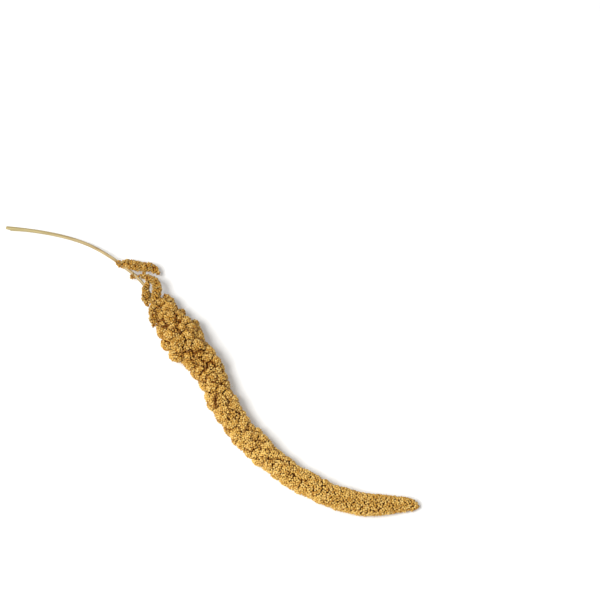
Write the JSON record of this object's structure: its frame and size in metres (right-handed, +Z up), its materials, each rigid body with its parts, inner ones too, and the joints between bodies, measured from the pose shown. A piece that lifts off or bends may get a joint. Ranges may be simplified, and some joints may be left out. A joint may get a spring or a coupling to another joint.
{
  "type": "millet seed head",
  "caption": "Dried foxtail millet seed head lying on its side: a long curved ear of lobed clusters of small golden seeds, with loose side branches at the neck, on a cut straw.",
  "frame": {"origin": "on the surface that the ear lies on, under the middle of the ear's box", "axes": "+X across the picture from the cut straw towards the tip of the ear, +Y away from the viewer, +Z up from the surface"},
  "size_m": [0.2464, 0.1856, 0.022],
  "materials": {
    "straw": "dry pale straw, finely ribbed, satin",
    "seeds": "dry golden husks, satin"
  },
  "bodies": {
    "root": {"stem": "straw", "seed_head": "seeds", "neck_branch": "seeds", "neck_tuft": "seeds"}
  },
  "joints": []
}
